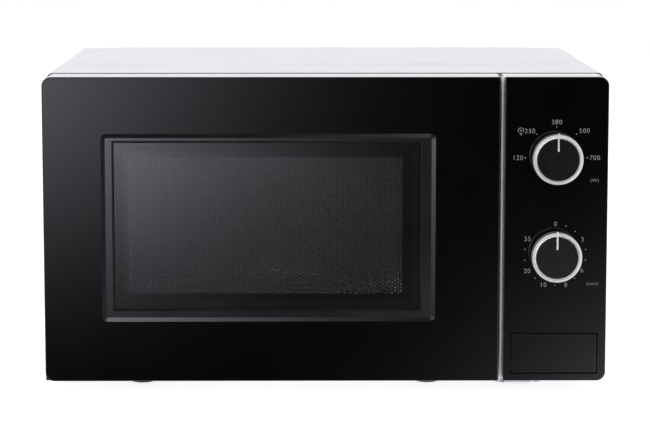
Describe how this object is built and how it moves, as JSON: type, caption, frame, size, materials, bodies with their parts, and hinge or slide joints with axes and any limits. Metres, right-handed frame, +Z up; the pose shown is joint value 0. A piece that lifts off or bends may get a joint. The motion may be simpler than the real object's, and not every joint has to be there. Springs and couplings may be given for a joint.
{
  "type": "microwave oven",
  "caption": "Free-standing microwave oven with a side-hung glossy black door, dial controls, a push-button latch, a turntable and a white sheet-metal cabinet.",
  "frame": {"origin": "on the floor under the middle of the oven's bounding box", "axes": "+X to the cook's right, +Y to the back, +Z up"},
  "size_m": [0.44, 0.363, 0.2585],
  "materials": {
    "white_paint": "satin white enamel on sheet steel",
    "grey_paint": "light grey enamel",
    "zinc_steel": "zinc-plated sheet steel",
    "screen_steel": "black enamelled perforated steel",
    "gloss_black": "high-gloss black acrylic",
    "white_plastic": "satin white moulding",
    "tinted_glass": "smoked glass",
    "clear_film": "clear film",
    "clear_glass": "clear heat-proof glass",
    "black_plastic": "dark grained moulding",
    "silver_trim": "satin silver plating",
    "rubber": "grey-black rubber",
    "bright_steel": "plated steel",
    "mica": "pale mica sheet",
    "grey_plastic": "natural grey moulding",
    "laminations": "varnished laminations",
    "copper": "enamelled winding wire",
    "aluminium": "plain aluminium",
    "board": "circuit board and small parts"
  },
  "bodies": {
    "cabinet": {"cabinet_wrap": "white_paint", "base_plate": "zinc_steel", "rear_plate": "zinc_steel", "round_feet": "rubber", "cord_gland": "black_plastic", "cabinet_screws": "bright_steel", "front_plate": "grey_paint", "oven_cavity": "grey_paint", "waveguide_cover": "mica", "hinge_brackets": "zinc_steel", "control_fascia": "gloss_black", "control_panel_frame": "white_plastic", "timer_unit": "grey_plastic", "power_selector": "grey_plastic", "timer_bell": "bright_steel", "latch_board": "grey_plastic", "interlock_switches": "grey_plastic", "waveguide": "zinc_steel", "magnetron": "aluminium", "transformer_core": "laminations", "transformer_windings": "copper", "hv_capacitor": "aluminium", "capacitor_clamp": "zinc_steel", "hv_diode": "board", "fan_shroud": "zinc_steel", "fan_motor": "laminations", "air_duct": "grey_plastic", "noise_filter_board": "board", "thermal_cutouts": "board", "lamp_holder": "zinc_steel", "oven_lamp": "clear_glass", "turntable_motor": "aluminium"},
    "door": {"door_fascia": "gloss_black", "window_surround": "gloss_black", "door_frame": "white_plastic", "door_pane": "tinted_glass", "window_gasket": "rubber", "door_screen": "screen_steel", "choke_frame": "screen_steel", "choke_cover": "black_plastic", "inner_window": "clear_film", "hinge_bushes": "black_plastic", "latch_spring": "bright_steel"},
    "latch": {"latch_hooks": "grey_plastic"},
    "open_button": {"door_open_button": "gloss_black", "button_spring": "bright_steel"},
    "release_lever": {"latch_lever": "grey_plastic"},
    "power_dial": {"power_knob": "black_plastic", "power_knob_trim": "silver_trim", "power_shaft": "bright_steel"},
    "timer_dial": {"timer_knob": "black_plastic", "timer_knob_trim": "silver_trim", "timer_shaft": "bright_steel"},
    "fan": {"fan_blade": "grey_plastic"},
    "turntable_drive": {"turntable_coupler": "grey_plastic"},
    "roller_carrier": {"roller_ring": "grey_plastic"},
    "roller_wheel_1": {"roller_1": "grey_plastic"},
    "roller_wheel_2": {"roller_2": "grey_plastic"},
    "roller_wheel_3": {"roller_3": "grey_plastic"},
    "glass_tray": {"glass_turntable": "clear_glass"}
  },
  "joints": [
    {"name": "door_hinge", "type": "hinge", "parent": "cabinet", "child": "door", "pos_m": [-0.2132, -0.1515, 0.13], "axis": [0, 0, -1], "range_deg": [0, 95]},
    {"name": "latch_lift", "type": "slide", "parent": "door", "child": "latch", "axis": [0, 0, 1], "range_m": [0, 0.004], "stiffness_N_per_m": 300, "springref_m": -0.006, "deforming": ["latch_spring"]},
    {"name": "button_push", "type": "slide", "parent": "cabinet", "child": "open_button", "axis": [0, 1, 0], "range_m": [0, 0.006], "stiffness_N_per_m": 450, "springref_m": -0.004, "deforming": ["button_spring"]},
    {"name": "lever_turn", "type": "hinge", "parent": "cabinet", "child": "release_lever", "pos_m": [0.14, -0.118, 0.06], "axis": [1, 0, 0], "range_deg": [0, 12.6]},
    {"name": "power_dial_turn", "type": "hinge", "parent": "cabinet", "child": "power_dial", "pos_m": [0.17945, -0.1635, 0.1924], "axis": [0, 1, 0], "range_deg": [-90, 90]},
    {"name": "timer_dial_turn", "type": "hinge", "parent": "cabinet", "child": "timer_dial", "pos_m": [0.17945, -0.1635, 0.1161], "axis": [0, 1, 0], "range_deg": [0, 300]},
    {"name": "fan_spin", "type": "hinge", "parent": "cabinet", "child": "fan", "pos_m": [0.1635, 0.163, 0.18], "axis": [0, 1, 0], "continuous": true},
    {"name": "turntable_spin", "type": "hinge", "parent": "cabinet", "child": "turntable_drive", "pos_m": [-0.045, 0.0252, 0.0405], "axis": [0, 0, 1], "continuous": true},
    {"name": "roller_carrier_spin", "type": "hinge", "parent": "cabinet", "child": "roller_carrier", "pos_m": [-0.045, 0.0252, 0.0405], "axis": [0, 0, 1], "continuous": true},
    {"name": "roller_1_spin", "type": "hinge", "parent": "roller_carrier", "child": "roller_wheel_1", "pos_m": [0.03251, 0.06995, 0.0405], "axis": [0.866, 0.5, 0], "continuous": true},
    {"name": "roller_2_spin", "type": "hinge", "parent": "roller_carrier", "child": "roller_wheel_2", "pos_m": [-0.12251, 0.06995, 0.0405], "axis": [-0.866, 0.5, 0], "continuous": true},
    {"name": "roller_3_spin", "type": "hinge", "parent": "roller_carrier", "child": "roller_wheel_3", "pos_m": [-0.045, -0.0643, 0.0405], "axis": [0, -1, 0], "continuous": true},
    {"name": "glass_lift", "type": "slide", "parent": "turntable_drive", "child": "glass_tray", "axis": [0, 0, 1], "range_m": [0, 0.02]}
  ],
  "couplings": [
    {"joint": "lever_turn", "follows": "button_push", "rad_per_m": 36.361},
    {"joint": "roller_carrier_spin", "follows": "turntable_spin", "ratio": 0.5},
    {"joint": "roller_1_spin", "follows": "turntable_spin", "ratio": -6.3929},
    {"joint": "roller_2_spin", "follows": "turntable_spin", "ratio": -6.3929},
    {"joint": "roller_3_spin", "follows": "turntable_spin", "ratio": -6.3929}
  ]
}
